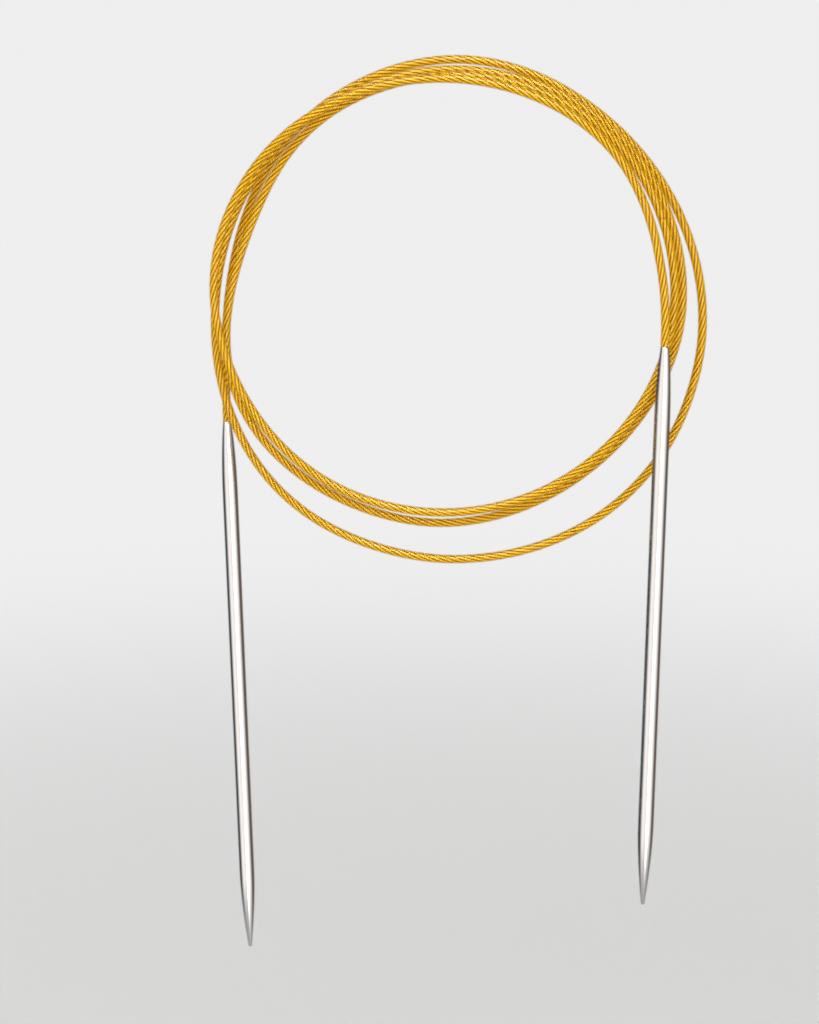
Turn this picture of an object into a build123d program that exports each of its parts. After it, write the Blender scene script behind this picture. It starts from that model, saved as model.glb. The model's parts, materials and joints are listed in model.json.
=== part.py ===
"""Circular knitting needle: two hollow steel needles on one nylon-coated wire-rope cable, wound in a hanging coil.

Frame: millimetres, +Z up. The origin is the centre of the coil. The coil lies in the XZ plane, winds clockwise
as seen from -Y, and steps forward along -Y as it winds. The left needle hangs behind it, the right one in front.

The cable is one flexible rope. Here it is cut into short lengths, with a small gap at each flex joint.
"""

import math
import os

from build123d import *

# ---------------------------------------------------------------- needles
NEEDLE_DIAMETER = 3.0
NEEDLE_LENGTH = 110.0
NEEDLE_WALL = 0.40
NECK_LENGTH = 15.0
NECK_MOUTH_RADIUS = 0.79
NECK_MOUTH_BORE = 0.68
NECK_LIP = 1.2
NECK_FLARE = 0.11
TIP_LENGTH = 17.0
TIP_POINT_RADIUS = 0.35
TIP_SLOPE = 0.11
TIP_PLUG_LENGTH = 12.0

# ---------------------------------------------------------------- anchor ferrule crimped on the rope's end
FERRULE_LENGTH = 9.0
FERRULE_RADIUS = 1.05
FERRULE_BORE = 0.66
FERRULE_CHAMFER = 0.25

# ---------------------------------------------------------------- cable
JACKET_RADIUS = 0.75
JACKET_BORE = 0.65
ROPE_RADIUS = 0.62

# ---------------------------------------------------------------- coil
# Distance from the coil's axis to the cable's middle at these angles clockwise from the left, turn by turn.
STATIONS = (0.0, 22.5, 45.0, 90.0, 135.0, 180.0, 225.0, 270.0, 315.0, 337.5)
REACHES = (
    (46.6, 45.9, 46.4, 46.9, 45.3, 46.2, 47.6, 49.2, 51.8, 50.6),
    (48.4, 47.3, 46.3, 45.2, 44.9, 42.5, 39.2, 41.2, 45.7, 47.2),
    (45.0, 43.0, 44.0, 44.3, 44.2, 41.3, 38.1, 38.6, 42.9, 45.0),
    (47.0, 47.4, 46.3, 43.9, 43.1),
)
COIL_PITCH = 2.9
LEFT_NECK_REACH = 53.2
LEFT_NECK_ANGLE = -27.2
LEFT_LEAN = 1.7
RIGHT_NECK_REACH = 40.5
RIGHT_NECK_ANGLE = 1266.7
RIGHT_LEAN = -1.1

# ---------------------------------------------------------------- flex joints
STUB_LENGTH = 14.0
LEAD_LENGTH = 28.0
COIL_SEGMENTS = 13
COIL_BEND = 12.0
LEAD_BEND = 45.0
STUB_BEND = 50.0
GAP_MARGIN = 0.12


def coil_point(angle, reach):
    """A point on the cable's middle, angle degrees clockwise from the coil's left and reach from its axis."""
    middle_angle = (LEFT_NECK_ANGLE + RIGHT_NECK_ANGLE) / 2
    depth = COIL_PITCH * (middle_angle - angle) / 360
    turn = math.radians(angle)
    return Vector(-reach * math.cos(turn), depth, reach * math.sin(turn))


def needle_direction(lean):
    """The way from neck to tip of a needle that leans by this many degrees towards +X."""
    return Vector(math.sin(math.radians(lean)), 0, -math.cos(math.radians(lean)))


def cable_centreline():
    """The cable's middle, from the left neck round the coil to the right neck."""
    points = [
        coil_point(360 * turn + angle, reach)
        for turn, reaches in enumerate(REACHES)
        for angle, reach in zip(STATIONS, reaches)
    ]
    points.insert(0, coil_point(LEFT_NECK_ANGLE, LEFT_NECK_REACH))
    points.append(coil_point(RIGHT_NECK_ANGLE, RIGHT_NECK_REACH))
    ends = [-needle_direction(LEFT_LEAN), needle_direction(RIGHT_LEAN)]
    return Edge.make_spline(points, tangents=ends, scale=False)


CENTRELINE = cable_centreline()
CABLE_LENGTH = CENTRELINE.length


def flex_gap(bend):
    """The gap between two flat cable ends that lets them turn by bend degrees about its middle."""
    return 2 * JACKET_RADIUS * math.tan(math.radians(bend / 2)) + GAP_MARGIN


def cable_lengths():
    """Each cable length's name, and where it starts and ends along the cable, in order from the left neck."""
    coil_start = STUB_LENGTH + LEAD_LENGTH
    coil_length = (CABLE_LENGTH - 2 * coil_start) / COIL_SEGMENTS
    cuts = [0, STUB_LENGTH]
    cuts += [coil_start + coil_length * i for i in range(COIL_SEGMENTS + 1)]
    cuts += [CABLE_LENGTH - STUB_LENGTH, CABLE_LENGTH]
    coil_gaps = [flex_gap(COIL_BEND)] * (COIL_SEGMENTS - 1)
    inner_gaps = [flex_gap(STUB_BEND), flex_gap(LEAD_BEND)] + coil_gaps + [flex_gap(LEAD_BEND), flex_gap(STUB_BEND)]
    gaps = [0] + inner_gaps + [0]
    names = ["left_stub", "left_lead"]
    names += [f"coil_{i + 1:02d}" for i in range(COIL_SEGMENTS)]
    names += ["right_lead", "right_stub"]
    return [
        (name, cuts[i] + gaps[i] / 2, cuts[i + 1] - gaps[i + 1] / 2)
        for i, name in enumerate(names)
    ]


def cable_sweep(start, end, section):
    """A bar or tube with this section along the cable, between two distances from the left neck."""
    path = CENTRELINE.trim(start / CABLE_LENGTH, end / CABLE_LENGTH)
    return sweep(Plane(origin=path @ 0, z_dir=path % 0) * section, path=path)


def rope_end(neck):
    """The straight bare end of the rope, from the neck's mouth to the far end of the anchor ferrule."""
    length = NECK_LENGTH + GAP_MARGIN + FERRULE_LENGTH
    return neck * Cylinder(ROPE_RADIUS, length, align=(Align.CENTER, Align.CENTER, Align.MIN))


def needle_shell():
    """A hollow needle with its neck's mouth at the origin and its tip along +Z."""
    radius = NEEDLE_DIAMETER / 2
    bore = radius - NEEDLE_WALL
    tip_start = NEEDLE_LENGTH - TIP_LENGTH
    bore_end = NEEDLE_LENGTH - TIP_PLUG_LENGTH
    with BuildSketch(Plane.XZ) as profile:
        with BuildLine():
            mouth = Line((NECK_MOUTH_BORE, 0), (NECK_MOUTH_RADIUS, 0))
            neck = Spline(
                mouth @ 1, (radius, NECK_LENGTH), tangents=[(NECK_FLARE, 1), (0, 1)]
            )
            barrel = Line(neck @ 1, (radius, tip_start))
            cone_end = (TIP_POINT_RADIUS, NEEDLE_LENGTH - TIP_POINT_RADIUS)
            cone = Spline(barrel @ 1, cone_end, tangents=[(0, 1), (-TIP_SLOPE, 1)])
            point = Spline(cone @ 1, (0, NEEDLE_LENGTH), tangents=[(-TIP_SLOPE, 1), (-1, 0)])
            axis = Line(point @ 1, (0, bore_end))
            bore_floor = Line(axis @ 1, (bore, bore_end + bore))
            wall = Line(bore_floor @ 1, (bore, NECK_LENGTH))
            shoulder = Line(wall @ 1, (NECK_MOUTH_BORE, NECK_LIP))
            Line(shoulder @ 1, mouth @ 0)
        make_face()
    return revolve(profile.sketch, axis=Axis.Z)


def anchor_ferrule():
    """The sleeve crimped on the rope's end, inside the needle behind its neck, with the mouth at the origin."""
    start = NECK_LENGTH + GAP_MARGIN
    sleeve = Pos(0, 0, start) * Cylinder(FERRULE_RADIUS, FERRULE_LENGTH, align=(Align.CENTER, Align.CENTER, Align.MIN))
    sleeve = chamfer(sleeve.edges().filter_by(GeomType.CIRCLE), FERRULE_CHAMFER)
    return sleeve - Cylinder(FERRULE_BORE, NEEDLE_LENGTH, align=(Align.CENTER, Align.CENTER, Align.MIN))


def neck_location(origin, direction):
    """Places a part drawn with its neck at the origin and its tip along +Z."""
    return Plane(origin=origin, x_dir=(0, 1, 0), z_dir=direction).location


def write(part, name):
    """Writes one node's STEP file."""
    part.label = name
    export_step(part, f"parts/{name}.step")


def main():
    os.makedirs("parts", exist_ok=True)
    necks = {
        "left": neck_location(CENTRELINE @ 0, needle_direction(LEFT_LEAN)),
        "right": neck_location(CENTRELINE @ 1, needle_direction(RIGHT_LEAN)),
    }
    for side, neck in necks.items():
        write(neck * needle_shell(), f"{side}_needle")
        write(neck * anchor_ferrule(), f"{side}_anchor_ferrule")
    for name, start, end in cable_lengths():
        rope = cable_sweep(start, end, Circle(ROPE_RADIUS))
        side, _, kind = name.partition("_")
        if kind == "stub":
            rope = rope + rope_end(necks[side])
        write(rope, f"{name}_rope")
        write(cable_sweep(start, end, Circle(JACKET_RADIUS) - Circle(JACKET_BORE)), f"{name}_jacket")


if __name__ == "__main__":
    main()
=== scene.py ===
import json
import math

import bmesh
import bpy
import numpy as np
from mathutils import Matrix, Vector

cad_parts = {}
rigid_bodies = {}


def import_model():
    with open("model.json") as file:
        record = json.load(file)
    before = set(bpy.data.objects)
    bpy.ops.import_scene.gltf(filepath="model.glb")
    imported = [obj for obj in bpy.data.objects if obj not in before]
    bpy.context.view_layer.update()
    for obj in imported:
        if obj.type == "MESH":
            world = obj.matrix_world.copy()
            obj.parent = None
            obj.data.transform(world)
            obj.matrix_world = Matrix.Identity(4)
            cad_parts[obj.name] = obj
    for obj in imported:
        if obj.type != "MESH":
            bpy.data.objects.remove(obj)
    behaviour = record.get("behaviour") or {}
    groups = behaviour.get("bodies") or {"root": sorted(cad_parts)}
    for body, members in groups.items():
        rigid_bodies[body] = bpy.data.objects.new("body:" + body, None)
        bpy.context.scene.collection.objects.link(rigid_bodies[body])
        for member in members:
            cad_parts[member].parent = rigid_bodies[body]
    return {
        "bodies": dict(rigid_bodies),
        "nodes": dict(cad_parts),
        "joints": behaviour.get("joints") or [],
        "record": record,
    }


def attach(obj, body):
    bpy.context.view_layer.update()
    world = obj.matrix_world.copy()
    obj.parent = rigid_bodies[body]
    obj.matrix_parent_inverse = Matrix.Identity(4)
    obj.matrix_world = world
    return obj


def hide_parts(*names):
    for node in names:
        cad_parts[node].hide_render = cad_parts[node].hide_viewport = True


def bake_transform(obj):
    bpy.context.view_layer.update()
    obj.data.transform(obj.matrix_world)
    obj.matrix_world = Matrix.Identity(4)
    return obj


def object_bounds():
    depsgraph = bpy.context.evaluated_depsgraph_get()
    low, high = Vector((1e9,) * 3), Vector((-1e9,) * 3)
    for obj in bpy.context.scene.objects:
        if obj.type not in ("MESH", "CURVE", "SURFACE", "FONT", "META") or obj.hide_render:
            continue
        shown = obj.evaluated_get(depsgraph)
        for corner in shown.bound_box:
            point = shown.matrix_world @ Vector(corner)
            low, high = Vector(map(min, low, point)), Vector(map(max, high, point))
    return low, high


# A circular knitting needle: two polished steel needles on one long amber cable, wound in a coil.
# The cable's coat and strands follow its middle line, found from the CAD model's corners and joints.
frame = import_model()
cad_low, cad_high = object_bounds()

MM = 0.001
FULL_TURN = 2 * math.pi
JOINTS = {joint["name"]: joint for joint in frame["joints"]}
MOUNTS = {mount["name"]: mount for mount in frame["record"]["mounts"]}
SIDES = ("left", "right")
WINDING_UV = "wind"

# ---------------------------------------------------------------- the cable's middle line
# Each curved length is fitted by polynomials of this degree, and read at these fractions of its sweep.
FIT_DEGREE = 7
FIT_FRACTIONS = np.linspace(0.12, 0.88, 9)
LINE_STEP = 0.25 * MM
FINE_STEPS_PER_STEP = 4
# Samples along each straight end of the rope, inside a needle.
STRAIGHT_SAMPLES = 100
# Corners are told apart to this many decimals of a metre, and every seventh is enough to find a radius.
CORNER_DECIMALS = 7
CORNER_STRIDE = 7

# ---------------------------------------------------------------- the rope and its coat
OUTER_STRANDS = 6
LAY_LENGTH = 11.6 * MM
STRAND_SIDES = 14
STRAND_STEP = 0.45 * MM
STRAND_CLEARANCE = 0.004 * MM
COAT_SIDES = 36
COAT_STEP = 0.6 * MM
# The coat's radius goes up and down by this much over the strands and between them.
COAT_RIPPLE = 0.012 * MM
# The cable length on which the radii of the coat and the rope are measured.
MEASURED_BODY = "coil_07"

# ---------------------------------------------------------------- the needles
NEEDLE_SIDES = 96
NECK_RINGS = 40
BARREL_RINGS = 40
TIP_RINGS = 90
# Corners nearer than this to the neck's mouth or to the axis count as lying on it.
ON_LINE = 0.02 * MM
# Corners deeper than this under the outside are corners of the bore.
UNDER_SKIN = 0.05 * MM
# The bore's rings are told apart to this many decimals of a metre.
RING_DECIMALS = 6
# Rounding allowed for when an outline is tested for dents, in square metres.
DENT_SLACK = 1e-13
# Rings that close on the axis get this radius, so that their faces keep an area.
SMALLEST_RADIUS = 0.0001 * MM


# ---------------------------------------------------------------- reading the frame
def corners_of(node):
    """A CAD node's distinct corners, as rows."""
    mesh = frame["nodes"][node].data
    rows = np.empty(len(mesh.vertices) * 3)
    mesh.vertices.foreach_get("co", rows)
    return np.unique(rows.reshape(-1, 3).round(CORNER_DECIMALS), axis=0)


def joint_place(body, other):
    """Where the joint between two bodies is."""
    pair = {body, other}
    joint = next(joint for joint in frame["joints"] if {joint["parent"], joint["child"]} == pair)
    return np.array(joint["pos_m"])


CABLE_BODIES = [body for body in frame["bodies"] if f"{body}_jacket" in frame["nodes"]]


def middle_points(body):
    """Points on the middle of one curved cable length, fitted to its jacket's corners round the coil."""
    corners = corners_of(f"{body}_jacket")
    centre = corners.mean(0)
    heading = math.atan2(centre[2], -centre[0])
    turn = np.arctan2(corners[:, 2], -corners[:, 0]) - heading
    turn = (turn + math.pi) % FULL_TURN - math.pi
    steps = turn.min() + (turn.max() - turn.min()) * FIT_FRACTIONS
    fits = [np.polyfit(turn, corners[:, k], FIT_DEGREE) for k in range(3)]
    return np.column_stack([np.polyval(fit, steps) for fit in fits])


def hermite(t, width, values, next_values, slopes, next_slopes):
    """A smooth step from one value and slope to the next, at fraction t of a span of this width."""
    return (
        values * (2 * t**3 - 3 * t**2 + 1)
        + next_values * (3 * t**2 - 2 * t**3)
        + slopes * width * (t**3 - 2 * t**2 + t)
        + next_slopes * width * (t**3 - t**2)
    )


def span_of(places, knots):
    """Which span between two knots each place is in."""
    return np.clip(np.searchsorted(knots, places, side="right") - 1, 0, len(knots) - 2)


def lengths_along(points):
    """Each point's distance from the first one, along the line through them."""
    return np.concatenate([[0], np.cumsum(np.linalg.norm(np.diff(points, axis=0), axis=1))])


def spline_through(points, start_slope, end_slope):
    """Even samples, and their distances, of a smooth curve through points with given end directions."""
    knots = lengths_along(points)
    gaps = np.diff(knots)
    count = len(points)
    matrix = np.zeros((count, count))
    right = np.zeros((count, 3))
    matrix[0, 0] = matrix[-1, -1] = 1
    right[0], right[-1] = start_slope, end_slope
    rises = np.diff(points, axis=0) / gaps[:, None]
    for i in range(1, count - 1):
        matrix[i, i - 1:i + 2] = gaps[i], 2 * (gaps[i - 1] + gaps[i]), gaps[i - 1]
        right[i] = 3 * (gaps[i] * rises[i - 1] + gaps[i - 1] * rises[i])
    slopes = np.linalg.solve(matrix, right)
    places = np.linspace(0, knots[-1], int(knots[-1] / LINE_STEP * FINE_STEPS_PER_STEP))
    span = span_of(places, knots)
    width = gaps[span][:, None]
    t = (places - knots[span])[:, None] / width
    curve = hermite(t, width, points[span], points[span + 1], slopes[span], slopes[span + 1])
    lengths = lengths_along(curve)
    even = np.linspace(0, lengths[-1], int(lengths[-1] / LINE_STEP) + 1)
    return np.column_stack([np.interp(even, lengths, curve[:, k]) for k in range(3)]), even


def needle_axis(side):
    """The point at a needle's neck and the direction from there to its tip."""
    neck = np.array(JOINTS[f"{side}_roll"]["pos_m"])
    return neck, np.array(MOUNTS[f"{side}_shank"]["axis"])


def depth_in_needle(side):
    """How far past the neck the rope runs inside a needle."""
    neck, direction = needle_axis(side)
    return ((corners_of(f"{side}_stub_rope") - neck) @ direction).max()


def cable_line():
    """Samples of the rope's middle, their distances from the left neck, and the right neck's distance."""
    left_neck, left_direction = needle_axis("left")
    right_neck, right_direction = needle_axis("right")
    points = [left_neck]
    for body, following in zip(CABLE_BODIES, CABLE_BODIES[1:]):
        if not body.endswith("stub"):
            points.extend(middle_points(body))
        points.append(joint_place(body, following))
    points.append(right_neck)
    curve, along = spline_through(np.array(points), -left_direction, right_direction)
    before = np.linspace(-depth_in_needle("left"), 0, STRAIGHT_SAMPLES)[:-1]
    after = np.linspace(0, depth_in_needle("right"), STRAIGHT_SAMPLES)[1:]
    line = np.vstack([
        left_neck - before[:, None] * left_direction,
        curve,
        right_neck + after[:, None] * right_direction,
    ])
    return line, np.concatenate([before, along, along[-1] + after]), along[-1]


LINE, ALONG, CABLE_LENGTH = cable_line()


def line_at(distances):
    """Points on the cable's middle at these distances from the left neck."""
    return np.column_stack([np.interp(distances, ALONG, LINE[:, k]) for k in range(3)])


def unit(rows):
    """The rows scaled to a length of one."""
    return rows / np.linalg.norm(rows, axis=1, keepdims=True)


def line_frames(distances):
    """The cable's middle at these distances, and the ways across it in the coil's plane and out of it."""
    ahead = line_at(np.minimum(distances + LINE_STEP, ALONG[-1]))
    behind = line_at(np.maximum(distances - LINE_STEP, ALONG[0]))
    forward = unit(ahead - behind)
    in_plane = unit(np.cross(forward, (0, 1, 0)))
    return line_at(distances), in_plane, np.cross(forward, in_plane)


def distance_of(point):
    """How far along the cable a point on its middle is."""
    return ALONG[np.argmin(np.linalg.norm(LINE - point, axis=1))]


def radius_about_line(node):
    """The greatest distance of a node's corners from the cable's middle."""
    corners = corners_of(node)[::CORNER_STRIDE]
    return max(np.linalg.norm(LINE - corner, axis=1).min() for corner in corners)


JOINT_DISTANCES = [distance_of(joint_place(a, b)) for a, b in zip(CABLE_BODIES, CABLE_BODIES[1:])]
BODY_STARTS = [0.0] + JOINT_DISTANCES
BODY_ENDS = JOINT_DISTANCES + [CABLE_LENGTH]
BODY_MIDDLES = [(start + end) / 2 for start, end in zip(BODY_STARTS, BODY_ENDS)]


# ---------------------------------------------------------------- meshes
def even_angles(count):
    """This many angles, evenly round a full turn."""
    return np.arange(count) * FULL_TURN / count


def tube_mesh(name, rings, capped, lengths):
    """A tube through rings of corners (ring, corner, xyz). Its UV is turns round and millimetres along."""
    ring_count, sides = rings.shape[:2]
    faces = []
    for i in range(ring_count - 1):
        for j in range(sides):
            k = (j + 1) % sides
            faces.append((i * sides + j, i * sides + k, (i + 1) * sides + k, (i + 1) * sides + j))
    side_faces = len(faces)
    if capped:
        faces.append(tuple(range(sides))[::-1])
        faces.append(tuple((ring_count - 1) * sides + j for j in range(sides)))
    mesh = bpy.data.meshes.new(name)
    mesh.from_pydata(rings.reshape(-1, 3).tolist(), [], faces)
    layer = mesh.uv_layers.new(name=WINDING_UV)
    values = np.zeros((len(mesh.loops), 2))
    side_loops = side_faces * 4
    i, j = np.divmod(np.arange(side_faces), sides)
    around = np.array([j, j + 1, j + 1, j]).T.ravel()
    ring = np.array([i, i, i + 1, i + 1]).T.ravel()
    values[:side_loops, 0] = around / sides
    values[:side_loops, 1] = lengths[ring] / MM
    layer.data.foreach_set("uv", values.ravel())
    mesh.shade_smooth()
    for face in mesh.polygons[side_faces:]:
        face.use_smooth = False
    return mesh


def add_piece(name, mesh, material):
    """A new object in the scene with this mesh and material."""
    piece = bpy.data.objects.new(name, mesh)
    bpy.context.scene.collection.objects.link(piece)
    mesh.materials.append(material)
    return piece


def strand_rings(distances, ring_radius, radius, phase):
    """Rings of one strand that winds right-handed round the cable's middle."""
    points, in_plane, across = line_frames(distances)
    turn = FULL_TURN * distances / LAY_LENGTH + phase
    outward = in_plane * np.cos(turn)[:, None] + across * np.sin(turn)[:, None]
    centres = points + outward * ring_radius
    forward = unit(np.gradient(centres, axis=0))
    side = unit(np.cross(forward, outward))
    outward = np.cross(side, forward)
    angles = even_angles(STRAND_SIDES)
    return (
        centres[:, None]
        + radius * np.cos(angles)[None, :, None] * outward[:, None]
        + radius * np.sin(angles)[None, :, None] * side[:, None]
    )


def joined_mesh(name, meshes):
    """One mesh from several, each kept as its own closed shell."""
    whole = bmesh.new()
    for mesh in meshes:
        whole.from_mesh(mesh)
        bpy.data.meshes.remove(mesh)
    result = bpy.data.meshes.new(name)
    whole.to_mesh(result)
    whole.free()
    return result


def even_steps(start, end, step):
    """Evenly spaced distances from start to end, about a step apart."""
    return np.linspace(start, end, max(2, round((end - start) / step)) + 1)


def rope_mesh(name, start, end, rope_radius):
    """The seven laid strands of one span of the cable, which fill its circle three strands across."""
    ring_radius = rope_radius * 2 / 3
    strand_radius = rope_radius / 3 - STRAND_CLEARANCE
    distances = even_steps(start, end, STRAND_STEP)
    strands = [strand_rings(distances, 0, strand_radius, 0)]
    for phase in even_angles(OUTER_STRANDS):
        strands.append(strand_rings(distances, ring_radius, strand_radius, phase))
    return joined_mesh(name, [tube_mesh(name, rings, True, distances) for rings in strands])


def coat_mesh(name, start, end, radius):
    """The outer face of one span of the nylon coat, which swells a little over each strand."""
    distances = even_steps(start, end, COAT_STEP)
    points, in_plane, across = line_frames(distances)
    angles = even_angles(COAT_SIDES)
    lay = FULL_TURN * distances / LAY_LENGTH
    swell = radius - COAT_RIPPLE + COAT_RIPPLE * np.cos(OUTER_STRANDS * (angles[None, :] - lay[:, None]))
    rings = (
        points[:, None]
        + (swell * np.cos(angles))[:, :, None] * in_plane[:, None]
        + (swell * np.sin(angles))[:, :, None] * across[:, None]
    )
    return tube_mesh(name, rings, False, distances)


def is_dent(before, middle, after):
    """Whether the middle one of three outline points lies on or under the line between the others."""
    rise = (after[1] - before[1]) * (middle[0] - before[0])
    return (middle[1] - before[1]) * (after[0] - before[0]) <= rise + DENT_SLACK


def needle_outlines(side):
    """Pairs of distance from the neck and radius, along a needle's outside and back along its bore."""
    neck, direction = needle_axis(side)
    corners = corners_of(f"{side}_needle") - neck
    along = corners @ direction
    radius = np.linalg.norm(corners - along[:, None] * direction, axis=1)
    outside = [(0.0, radius[along < ON_LINE].max())]
    order = np.lexsort((-radius, along))
    for corner in zip(along[order], radius[order]):
        if corner[0] < ON_LINE:
            continue
        while len(outside) > 1 and is_dent(outside[-2], outside[-1], corner):
            outside.pop()
        outside.append(corner)
    outside = np.array(outside)
    inner = radius < np.interp(along, outside[:, 0], outside[:, 1]) - UNDER_SKIN
    wall = inner & (radius > ON_LINE)
    rings = np.unique(np.column_stack([along, radius])[wall].round(RING_DECIMALS), axis=0)
    bore_end = along[inner & (radius <= ON_LINE)].max()
    return outside, [(bore_end, 0.0)] + [tuple(ring) for ring in rings[::-1]]


def rounded_steps(outline, count):
    """Even places along an outline, and its radius there on a smooth curve through its points."""
    places, values = outline[:, 0], outline[:, 1]
    slopes = np.gradient(values, places)
    steps = np.linspace(places[0], places[-1], count)
    span = span_of(steps, places)
    width = np.diff(places)[span]
    t = (steps - places[span]) / width
    curve = hermite(t, width, values[span], values[span + 1], slopes[span], slopes[span + 1])
    return list(zip(steps, curve))


def needle_mesh(name, side):
    """A hollow needle turned from its CAD outlines, with many more sides."""
    neck, direction = needle_axis(side)
    outside, bore = needle_outlines(side)
    barrel = np.argmax(np.diff(outside[:, 0]))
    neck_part = rounded_steps(outside[:barrel + 1], NECK_RINGS)
    tip_part = rounded_steps(outside[barrel + 1:], TIP_RINGS)
    barrel_steps = np.linspace(outside[barrel, 0], outside[barrel + 1, 0], BARREL_RINGS)[1:-1]
    barrel_part = [(place, outside[barrel, 1]) for place in barrel_steps]
    profile = bore + neck_part + barrel_part + tip_part
    side_way = np.array((0.0, 1.0, 0.0))
    other_way = np.cross(direction, side_way)
    angles = even_angles(NEEDLE_SIDES)
    circle = np.cos(angles)[:, None] * side_way + np.sin(angles)[:, None] * other_way
    rings = np.array([
        neck + direction * place + circle * max(radius, SMALLEST_RADIUS)
        for place, radius in profile
    ])
    lengths = np.array([place for place, _ in profile])
    mesh = tube_mesh(name, rings, True, lengths)
    for face in mesh.polygons[:len(bore) * NEEDLE_SIDES]:
        face.use_smooth = False
    return mesh


# ---------------------------------------------------------------- materials
STEEL_COLOUR = (0.80, 0.79, 0.78, 1)
# The noise is fine round the needle and long along it, so that it makes lines.
POLISHING_STRETCH = (60, 0.35, 1)
POLISHING_SCALE = 3.0
POLISHING_DETAIL = 4.0
# The part of the polishing lines' noise over which the steel goes from its clearest to its haziest.
HAZE_START = 0.35
HAZE_END = 0.75
CLEAR_ROUGHNESS = 0.035
HAZY_ROUGHNESS = 0.10
POLISHING_BUMP = 0.02
BRASS_COLOUR = (0.74, 0.52, 0.22, 1)
BRASS_ROUGHNESS = 0.28
BRASS_RING_SCALE = 2500
BRASS_BUMP = 0.2
FINE_BUMP = 0.02 * MM

WIRES_PER_STRAND = 6
# In millimetres, as the tubes' UVs are.
WIRE_LAY = 3.2
WIRE_METAL = 0.25
WIRE_ROUGHNESS = 0.45
# Faint painted shade: each wire is lighter over its crown and darker in the gap to the next wire, between
# these two colours.
WIRE_SHADED_GAP = (0.98, 0.87, 0.64, 1)
WIRE_LIT_CROWN = (1.0, 0.90, 0.68, 1)
# Painted shade: the sides of each strand, where it lies in the grooves against its neighbours, are darkened
# to this orange-brown.
GROOVE_PAINTED_SHADE = (0.27, 0.050, 0.003, 1)
# Cosines of the angle from straight outward at which a strand has the full painted shade of the grooves,
# and none of it.
GROOVE_SHADE_FULL = 0.24
GROOVE_SHADE_NONE = 0.93

NYLON_COLOUR = (1.0, 0.70, 0.014, 1)
NYLON_FILTER = (1.0, 0.745, 0.075, 1)
NYLON_GLINT = (1.0, 0.86, 0.50, 1)
NYLON_GLINT_LEVEL = 0.25
NYLON_ROUGHNESS = 0.10
NYLON_IOR = 1.5


class Shading:
    """A material or world being built, with short ways to add nodes to it."""

    def __init__(self, tree):
        self.nodes = tree.nodes
        self.links = tree.links

    def add(self, kind, settings=None, **inputs):
        """A new node. An input is named with _ for a space, and is a value or another node's output."""
        node = self.nodes.new(kind)
        for name, value in (settings or {}).items():
            setattr(node, name, value)
        for name, value in inputs.items():
            self.set(node, name.replace("_", " "), value)
        return node

    def set(self, node, name, value):
        """Gives a node's input a value, or links another node's output to it."""
        if isinstance(value, bpy.types.NodeSocket):
            self.links.new(value, node.inputs[name])
        else:
            node.inputs[name].default_value = value

    def math(self, operation, *values):
        """The result of a calculation on numbers and outputs."""
        node = self.add("ShaderNodeMath", {"operation": operation})
        for i, value in enumerate(values):
            self.set(node, i, value)
        return node.outputs[0]

    def between(self, value, start, end, low, high, interpolation="LINEAR"):
        """A value taken from the range start to end into the range low to high."""
        node = self.add("ShaderNodeMapRange", {"interpolation_type": interpolation}, Value=value)
        for name, number in (("From Min", start), ("From Max", end), ("To Min", low), ("To Max", high)):
            self.set(node, name, number)
        return node.outputs["Result"]

    def mix(self, share, first, second, blend="MIX"):
        """Two colours mixed."""
        node = self.add("ShaderNodeMixRGB", {"blend_type": blend}, Fac=share, Color1=first, Color2=second)
        return node.outputs["Color"]

    def dot(self, vector, direction):
        """How nearly a vector points this way."""
        node = self.add("ShaderNodeVectorMath", {"operation": "DOT_PRODUCT"})
        self.set(node, 0, vector)
        self.set(node, 1, Vector(direction).normalized())
        return node.outputs["Value"]

    def bump(self, height, strength):
        """A normal roughened by a height."""
        node = self.add("ShaderNodeBump", Height=height, Strength=strength, Distance=FINE_BUMP)
        return node.outputs["Normal"]

    def winding(self):
        """The turn round a tube and the millimetres along it."""
        return self.add("ShaderNodeUVMap", {"uv_map": WINDING_UV}).outputs["UV"]


def new_material(name):
    """A new material, its shading, its main shader and its output."""
    material = bpy.data.materials.new(name)
    material.use_nodes = True
    nodes = material.node_tree.nodes
    return material, Shading(material.node_tree), nodes["Principled BSDF"], nodes["Material Output"]


def polished_steel():
    """Mirror-polished stainless steel with faint lengthwise polishing lines and handling haze."""
    material, shading, shader, _ = new_material("polished_steel")
    stretched = shading.add("ShaderNodeMapping", Vector=shading.winding(), Scale=POLISHING_STRETCH)
    lines = shading.add("ShaderNodeTexNoise", Vector=stretched.outputs["Vector"])
    shading.set(lines, "Scale", POLISHING_SCALE)
    shading.set(lines, "Detail", POLISHING_DETAIL)
    roughness = shading.between(lines.outputs["Fac"], HAZE_START, HAZE_END, CLEAR_ROUGHNESS, HAZY_ROUGHNESS)
    shading.set(shader, "Metallic", 1.0)
    shading.set(shader, "Base Color", STEEL_COLOUR)
    shading.set(shader, "Roughness", roughness)
    shading.set(shader, "Normal", shading.bump(lines.outputs["Fac"], POLISHING_BUMP))
    return material


def turned_brass():
    """Crimped brass ferrule with fine turning rings."""
    material, shading, shader, _ = new_material("turned_brass")
    place = shading.add("ShaderNodeTexCoord").outputs["Object"]
    rings = shading.add("ShaderNodeTexWave", {"bands_direction": "Z"}, Vector=place)
    shading.set(rings, "Scale", BRASS_RING_SCALE)
    shading.set(rings, "Distortion", 1.0)
    shading.set(shader, "Metallic", 1.0)
    shading.set(shader, "Base Color", BRASS_COLOUR)
    shading.set(shader, "Roughness", BRASS_ROUGHNESS)
    shading.set(shader, "Normal", shading.bump(rings.outputs["Fac"], BRASS_BUMP))
    return material


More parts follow.
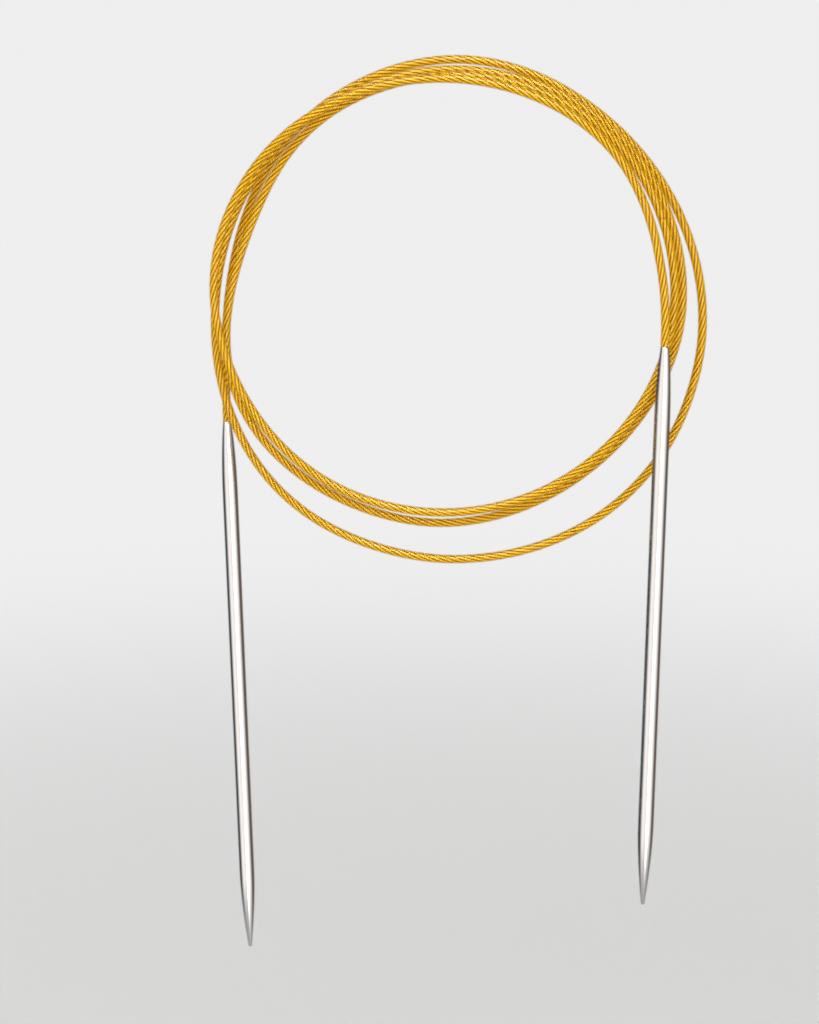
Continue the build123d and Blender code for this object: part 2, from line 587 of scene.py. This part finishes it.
def strand_wire():
    """Drawn steel wires laid in a strand, gilded by the amber nylon that soaks between them, with painted
    shade between the wires and in the grooves between strands.
    """
    material, shading, shader, _ = new_material("strand_wire")
    split = shading.add("ShaderNodeSeparateXYZ", Vector=shading.winding())
    # A sine across the six wires of each strand paints faint shade in the gaps between them.
    turned = shading.math("MULTIPLY_ADD", split.outputs["Y"], -1 / WIRE_LAY, split.outputs["X"])
    wires = shading.math("SINE", shading.math("MULTIPLY", turned, FULL_TURN * WIRES_PER_STRAND))
    colour = shading.mix(shading.between(wires, -1, 1, 0, 1), WIRE_SHADED_GAP, WIRE_LIT_CROWN)
    # Painted shade: a strand's sides, turned away from straight outward, darken where they lie in the
    # grooves between strands.
    facing = shading.math("COSINE", shading.math("MULTIPLY", split.outputs["X"], FULL_TURN))
    groove_shade = shading.add("ShaderNodeValToRGB", Fac=facing)
    ramp = groove_shade.color_ramp
    ramp.interpolation = "EASE"
    ramp.elements[0].position = GROOVE_SHADE_FULL
    ramp.elements[0].color = GROOVE_PAINTED_SHADE
    ramp.elements[1].position = GROOVE_SHADE_NONE
    shading.set(shader, "Base Color", shading.mix(1.0, colour, groove_shade.outputs["Color"], "MULTIPLY"))
    shading.set(shader, "Metallic", WIRE_METAL)
    shading.set(shader, "Roughness", WIRE_ROUGHNESS)
    return material


def amber_nylon():
    """Clear amber nylon, which bends what the eye sees in it. Lighting passes straight in, filtered."""
    material, shading, shader, output = new_material("amber_nylon")
    shading.set(shader, "Base Color", NYLON_COLOUR)
    shading.set(shader, "Specular IOR Level", NYLON_GLINT_LEVEL)
    shading.set(shader, "Specular Tint", NYLON_GLINT)
    shading.set(shader, "Roughness", NYLON_ROUGHNESS)
    shading.set(shader, "IOR", NYLON_IOR)
    shading.set(shader, "Transmission Weight", 1.0)
    clear = shading.add("ShaderNodeBsdfTransparent", Color=NYLON_FILTER)
    path = shading.add("ShaderNodeLightPath")
    lit = shading.math("MAXIMUM", path.outputs["Is Shadow Ray"], path.outputs["Is Diffuse Ray"])
    shown = shading.add("ShaderNodeMixShader", Fac=lit)
    shading.set(shown, 1, shader.outputs["BSDF"])
    shading.set(shown, 2, clear.outputs["BSDF"])
    shading.set(output, "Surface", shown.outputs["Shader"])
    return material


# ---------------------------------------------------------------- the object
def build_cable():
    """The coat and the seven strands, in spans that each cross one flex joint, from the middle of one cable
    length to the middle of the next, the end spans running to the cable's ends.
    """
    coat_material, wire_material = amber_nylon(), strand_wire()
    coat_radius = radius_about_line(f"{MEASURED_BODY}_jacket")
    rope_radius = radius_about_line(f"{MEASURED_BODY}_rope")
    last = len(CABLE_BODIES) - 2
    for i, (body, following) in enumerate(zip(CABLE_BODIES, CABLE_BODIES[1:])):
        joint, middle, next_middle = JOINT_DISTANCES[i], BODY_MIDDLES[i], BODY_MIDDLES[i + 1]
        start = 0.0 if i == 0 else middle
        end = CABLE_LENGTH if i == last else next_middle
        rope_start = ALONG[0] if i == 0 else start
        rope_end = ALONG[-1] if i == last else end
        coat = coat_mesh("coat", start, end, coat_radius)
        rope = rope_mesh("strands", rope_start, rope_end, rope_radius)
        stood_for = [body] + ([following] if i == last else [])
        for name, mesh, material, part, slot in (
            ("cable_coat", coat, coat_material, "jacket", "nylon_jacket"),
            ("cable_strands", rope, wire_material, "rope", "wire_rope"),
        ):
            piece = add_piece(f"{name}_{i + 1:02d}", mesh, material)
            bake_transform(piece)
            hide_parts(*[f"{stood}_{part}" for stood in stood_for])


def build_needles():
    """The two needles' shells, and brass for the ferrules inside them."""
    steel, brass = polished_steel(), turned_brass()
    for side in SIDES:
        name = f"{side}_needle_shell"
        needle = add_piece(name, needle_mesh(name, side), steel)
        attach(needle, f"{side}_needle")
        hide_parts(f"{side}_needle")
        ferrule = frame["nodes"][f"{side}_anchor_ferrule"]
        ferrule.data.materials.clear()
        ferrule.data.materials.append(brass)


# ---------------------------------------------------------------- studio
# Angles are in degrees, places and distances in metres, and the lens in millimetres.
CAMERA_AZIMUTH = 11.0
CAMERA_ELEVATION = 8.5
CAMERA_DISTANCE = 0.52
FOCAL_LENGTH = 95.87
SENSOR_WIDTH = 36
CLIP_START = 0.01
CLIP_END = 20
AIM = Vector((-0.0094, 0, -0.0397))
# How widely the render smooths each point of the picture.
LENS_SOFTNESS = 2.2

BACKDROP = (0.855, 0.86, 0.855, 1)
SOFTBOX = (1.20, 1.18, 1.17)
LAMP = (6.0, 5.9, 5.7)
SOFTBOX_WARM = (1.12, 1.03, 0.99)
WINDOW_BAR = (0.50, 0.46, 0.46)
WALL_COOL = (0.045, 0.045, 0.052)
WALL_WARM = (0.14, 0.10, 0.085)
WALL_PALE = (0.60, 0.60, 0.60)
# What a mirror sees near the horizon, by degrees round from the camera's side of the object.
RING = (
    (-180, WALL_PALE),
    (-168, WALL_PALE),
    (-156, WALL_COOL),
    (-92, WALL_COOL),
    (-58, SOFTBOX),
    (-24, SOFTBOX_WARM),
    (-6, SOFTBOX_WARM),
    (-3, WINDOW_BAR),
    (1, WINDOW_BAR),
    (4, SOFTBOX),
    (9, LAMP),
    (20, LAMP),
    (26, SOFTBOX),
    (52, SOFTBOX),
    (88, WALL_WARM),
    (156, WALL_WARM),
    (168, WALL_PALE),
    (180, WALL_PALE),
)
# The ring fades out between these heights, where 1 is straight up and -1 straight down.
RING_HALF_HEIGHT = 0.36
RING_FADED_HEIGHT = RING_HALF_HEIGHT * 1.6
# Above and below the ring, mirrors see an even room and one bright round panel, which fades out between two
# angles from its middle.
ROOM_GLOW = 0.40
PANEL_DIRECTION = (-0.30, -0.75, 0.50)
PANEL_INNER = 20
PANEL_OUTER = 36
PANEL_GLOW = 11.0
# The glow on matt surfaces is highest from this direction, and lowest below this dot product with it.
AMBIENT_DIRECTION = (-0.10, -1.0, -0.60)
AMBIENT_LOW_DOT = -0.6
AMBIENT_LOW = 0.40
AMBIENT_HIGH = 2.05

FLOOR_DROP = 25 * MM
FLOOR_RADIUS = 3.0
FLOOR_SIDES = 64
FLOOR_COLOUR = (0.93, 0.93, 0.925, 1)
FLOOR_ROUGHNESS = 0.6
# The floor fades into the backdrop between these distances from the coil's centre.
FADE_START = 0.16
FADE_END = 0.55

KEY_PLACE = (-0.5, -0.6, 0.8)
KEY_SIZE = 0.7
KEY_POWER = 1.0


def look_along(thing, direction):
    """Turns a camera or light to face along a direction."""
    thing.rotation_mode = "QUATERNION"
    thing.rotation_quaternion = Vector(direction).to_track_quat("-Z", "Y")


def build_camera():
    """The camera in front of the coil, a little to the right and above."""
    azimuth, elevation = math.radians(CAMERA_AZIMUTH), math.radians(CAMERA_ELEVATION)
    back = Vector((
        math.sin(azimuth) * math.cos(elevation),
        -math.cos(azimuth) * math.cos(elevation),
        math.sin(elevation),
    ))
    data = bpy.data.cameras.new("camera")
    data.lens = FOCAL_LENGTH
    data.sensor_width = SENSOR_WIDTH
    data.clip_start = CLIP_START
    data.clip_end = CLIP_END
    camera = bpy.data.objects.new("camera", data)
    camera.location = back * CAMERA_DISTANCE
    look_along(camera, AIM - camera.location)
    bpy.context.scene.collection.objects.link(camera)
    bpy.context.scene.camera = camera


def ring_colours(shading, share):
    """The ring's colour at a share of the way round it."""
    node = shading.add("ShaderNodeValToRGB", Fac=share)
    stops = node.color_ramp.elements
    while len(stops) < len(RING):
        stops.new(0.5)
    for stop, (degrees, colour) in zip(stops, RING):
        stop.position = degrees / 360 + 0.5
        stop.color = (*colour, 1)
    return node.outputs["Color"]


def build_world():
    """The camera sees the backdrop, and mirrors see softboxes, a lamp and dark walls, with a panel above.

    Matt surfaces are lit by a smooth glow that is strongest from the front and a little below.
    """
    world = bpy.data.worlds.new("studio")
    bpy.context.scene.world = world
    world.use_nodes = True
    shading = Shading(world.node_tree)
    place = shading.add("ShaderNodeTexCoord").outputs["Generated"]
    spin = (0, 0, -math.radians(CAMERA_AZIMUTH))
    direction = shading.add("ShaderNodeMapping", Vector=place, Rotation=spin).outputs["Vector"]
    split = shading.add("ShaderNodeSeparateXYZ", Vector=direction)
    towards = shading.math("MULTIPLY", split.outputs["Y"], -1)
    angle = shading.math("ARCTAN2", split.outputs["X"], towards)
    ring = ring_colours(shading, shading.math("MULTIPLY_ADD", angle, 1 / FULL_TURN, 0.5))
    panel_edge, panel_middle = (math.cos(math.radians(reach)) for reach in (PANEL_OUTER, PANEL_INNER))
    nearness = shading.dot(direction, PANEL_DIRECTION)
    panel = shading.between(nearness, panel_edge, panel_middle, ROOM_GLOW, PANEL_GLOW, "SMOOTHSTEP")
    height = shading.math("ABSOLUTE", split.outputs["Z"])
    away = shading.between(height, RING_HALF_HEIGHT, RING_FADED_HEIGHT, 0, 1, "SMOOTHSTEP")
    frontness = shading.dot(direction, AMBIENT_DIRECTION)
    ambient = shading.between(frontness, AMBIENT_LOW_DOT, 1, AMBIENT_LOW, AMBIENT_HIGH, "SMOOTHSTEP")
    path = shading.add("ShaderNodeLightPath")
    lighting = shading.mix(path.outputs["Is Glossy Ray"], ambient, shading.mix(away, ring, panel))
    seen = shading.mix(path.outputs["Is Camera Ray"], lighting, BACKDROP)
    shading.set(world.node_tree.nodes["Background"], "Color", seen)


def build_floor():
    """A pale floor that fades into the backdrop, low enough that no pose reaches it."""
    angles = even_angles(FLOOR_SIDES)
    height = cad_low.z - FLOOR_DROP
    ring = [(FLOOR_RADIUS * math.cos(angle), FLOOR_RADIUS * math.sin(angle), height) for angle in angles]
    mesh = bpy.data.meshes.new("floor")
    mesh.from_pydata(ring, [], [tuple(range(FLOOR_SIDES))])
    material, shading, shader, output = new_material("floor")
    shading.set(shader, "Base Color", FLOOR_COLOUR)
    shading.set(shader, "Roughness", FLOOR_ROUGHNESS)
    length = shading.add("ShaderNodeVectorMath", {"operation": "LENGTH"})
    shading.set(length, 0, shading.add("ShaderNodeNewGeometry").outputs["Position"])
    fade = shading.between(length.outputs["Value"], FADE_START, FADE_END, 0, 1, "SMOOTHERSTEP")
    glow = shading.add("ShaderNodeEmission", Color=BACKDROP)
    shown = shading.add("ShaderNodeMixShader", Fac=fade)
    shading.set(shown, 1, shader.outputs["BSDF"])
    shading.set(shown, 2, glow.outputs["Emission"])
    shading.set(output, "Surface", shown.outputs["Shader"])
    floor = add_piece("floor", mesh, material)
    floor.visible_glossy = False


def build_lights():
    """One large soft key above and to the left, unseen by mirrors."""
    data = bpy.data.lights.new("key", "AREA")
    data.shape = "DISK"
    data.size = KEY_SIZE
    data.energy = KEY_POWER
    light = bpy.data.objects.new("key", data)
    light.location = KEY_PLACE
    look_along(light, -light.location)
    light.visible_glossy = False
    bpy.context.scene.collection.objects.link(light)


build_cable()
build_needles()
build_camera()
build_world()
build_floor()
build_lights()
bpy.context.scene.view_settings.view_transform = "Standard"
bpy.context.scene.cycles.filter_width = LENS_SOFTNESS
